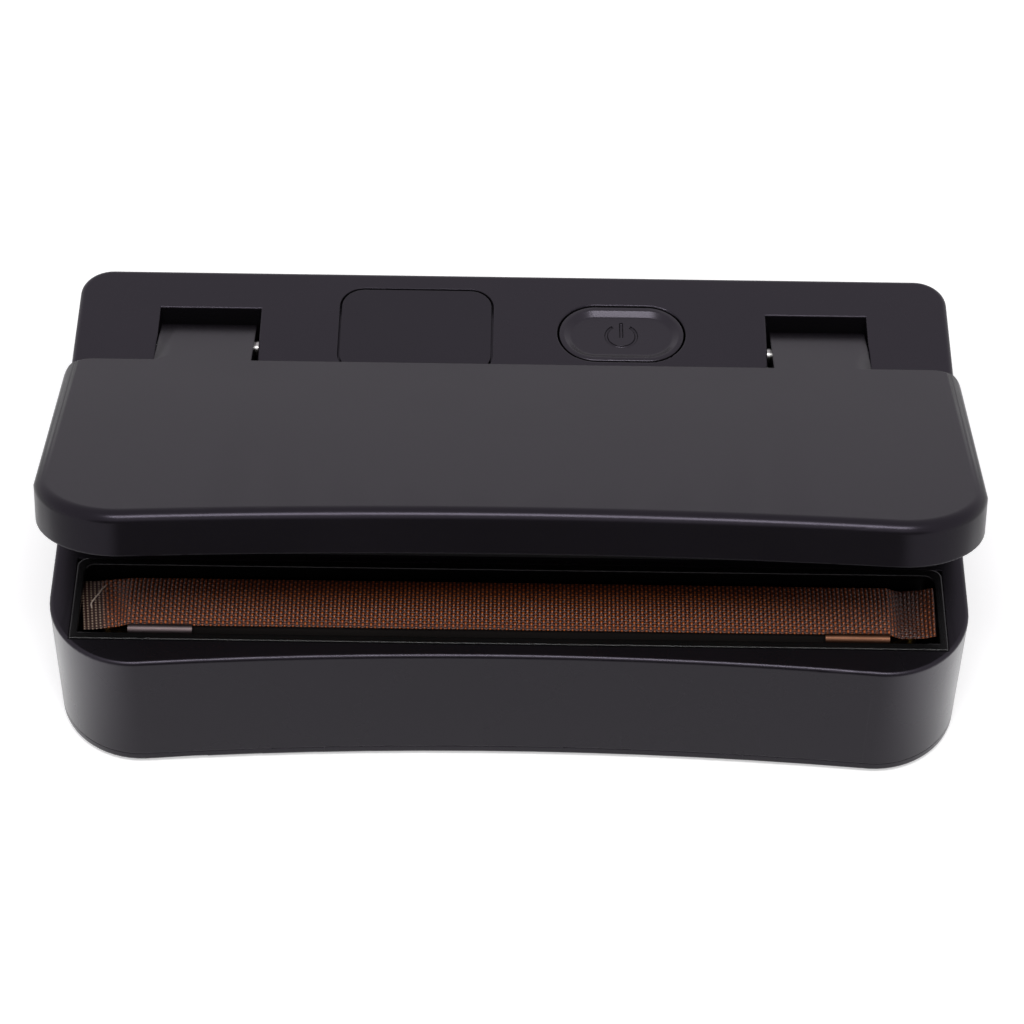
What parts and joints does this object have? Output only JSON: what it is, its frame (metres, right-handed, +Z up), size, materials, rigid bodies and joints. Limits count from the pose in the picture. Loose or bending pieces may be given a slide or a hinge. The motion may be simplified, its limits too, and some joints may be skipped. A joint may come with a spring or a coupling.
{
  "type": "vacuum sealer",
  "caption": "Compact bag sealer with a hinged lid, a cloth-covered heater bar, a vacuum trough behind it, a push button and a display window.",
  "frame": {"origin": "on the table under the middle of the body", "axes": "+X along the hinge to the user's right, +Y to the rear, +Z up"},
  "size_m": [0.1812, 0.0966, 0.0683],
  "materials": {
    "housing_plastic": "fine satin moulded, near black",
    "lid_plastic": "soft satin moulded, near black",
    "bar_plastic": "heat resistant, matt",
    "pale_plastic": "satin",
    "black_gloss": "gloss",
    "smoked_window": "satin smoked",
    "foot_rubber": "matt",
    "seal_rubber": "matt",
    "red_silicone": "matt",
    "clear_silicone": "satin, milky",
    "ptfe_cloth": "coated glass cloth, satin",
    "steel": "bright",
    "clip_brass": "plain",
    "cell_wrap": "shrink wrap",
    "board": "solder mask"
  },
  "bodies": {
    "base": {"main_housing": "housing_plastic", "base_cover": "housing_plastic", "rubber_feet": "foot_rubber", "base_screws": "steel", "heater_tray": "housing_plastic", "heater_bar": "bar_plastic", "heating_band": "steel", "band_clip_left": "clip_brass", "band_clip_right": "clip_brass", "ptfe_cover": "ptfe_cloth", "cloth_clamps": "steel", "vacuum_trough": "housing_plastic", "suction_nozzle": "pale_plastic", "vacuum_hose": "clear_silicone", "deck_seal": "seal_rubber", "display_window": "smoked_window", "display_board": "board", "digit_module": "black_gloss", "button_switch": "black_gloss", "control_board": "board", "battery_cells": "cell_wrap", "battery_cradle": "housing_plastic", "pump_motor": "steel", "pump_head": "pale_plastic", "pump_cradle": "foot_rubber", "charge_socket": "steel", "charge_board": "board", "hinge_pins": "steel"},
    "lid": {"lid_shell": "lid_plastic", "lid_liner": "housing_plastic", "pressure_pad": "red_silicone", "lid_seal": "seal_rubber", "lid_screws": "steel"},
    "button": {"power_button": "lid_plastic"}
  },
  "joints": [
    {"name": "lid_hinge", "type": "hinge", "parent": "base", "child": "lid", "pos_m": [0, 0.0296, 0.0387], "axis": [-1, 0, 0], "range_deg": [-20.2, 39.8]},
    {"name": "button_press", "type": "slide", "parent": "base", "child": "button", "axis": [0, 0, -1], "range_m": [0, 0.0008], "stiffness_N_per_m": 1500, "springref_m": -0.0004}
  ]
}
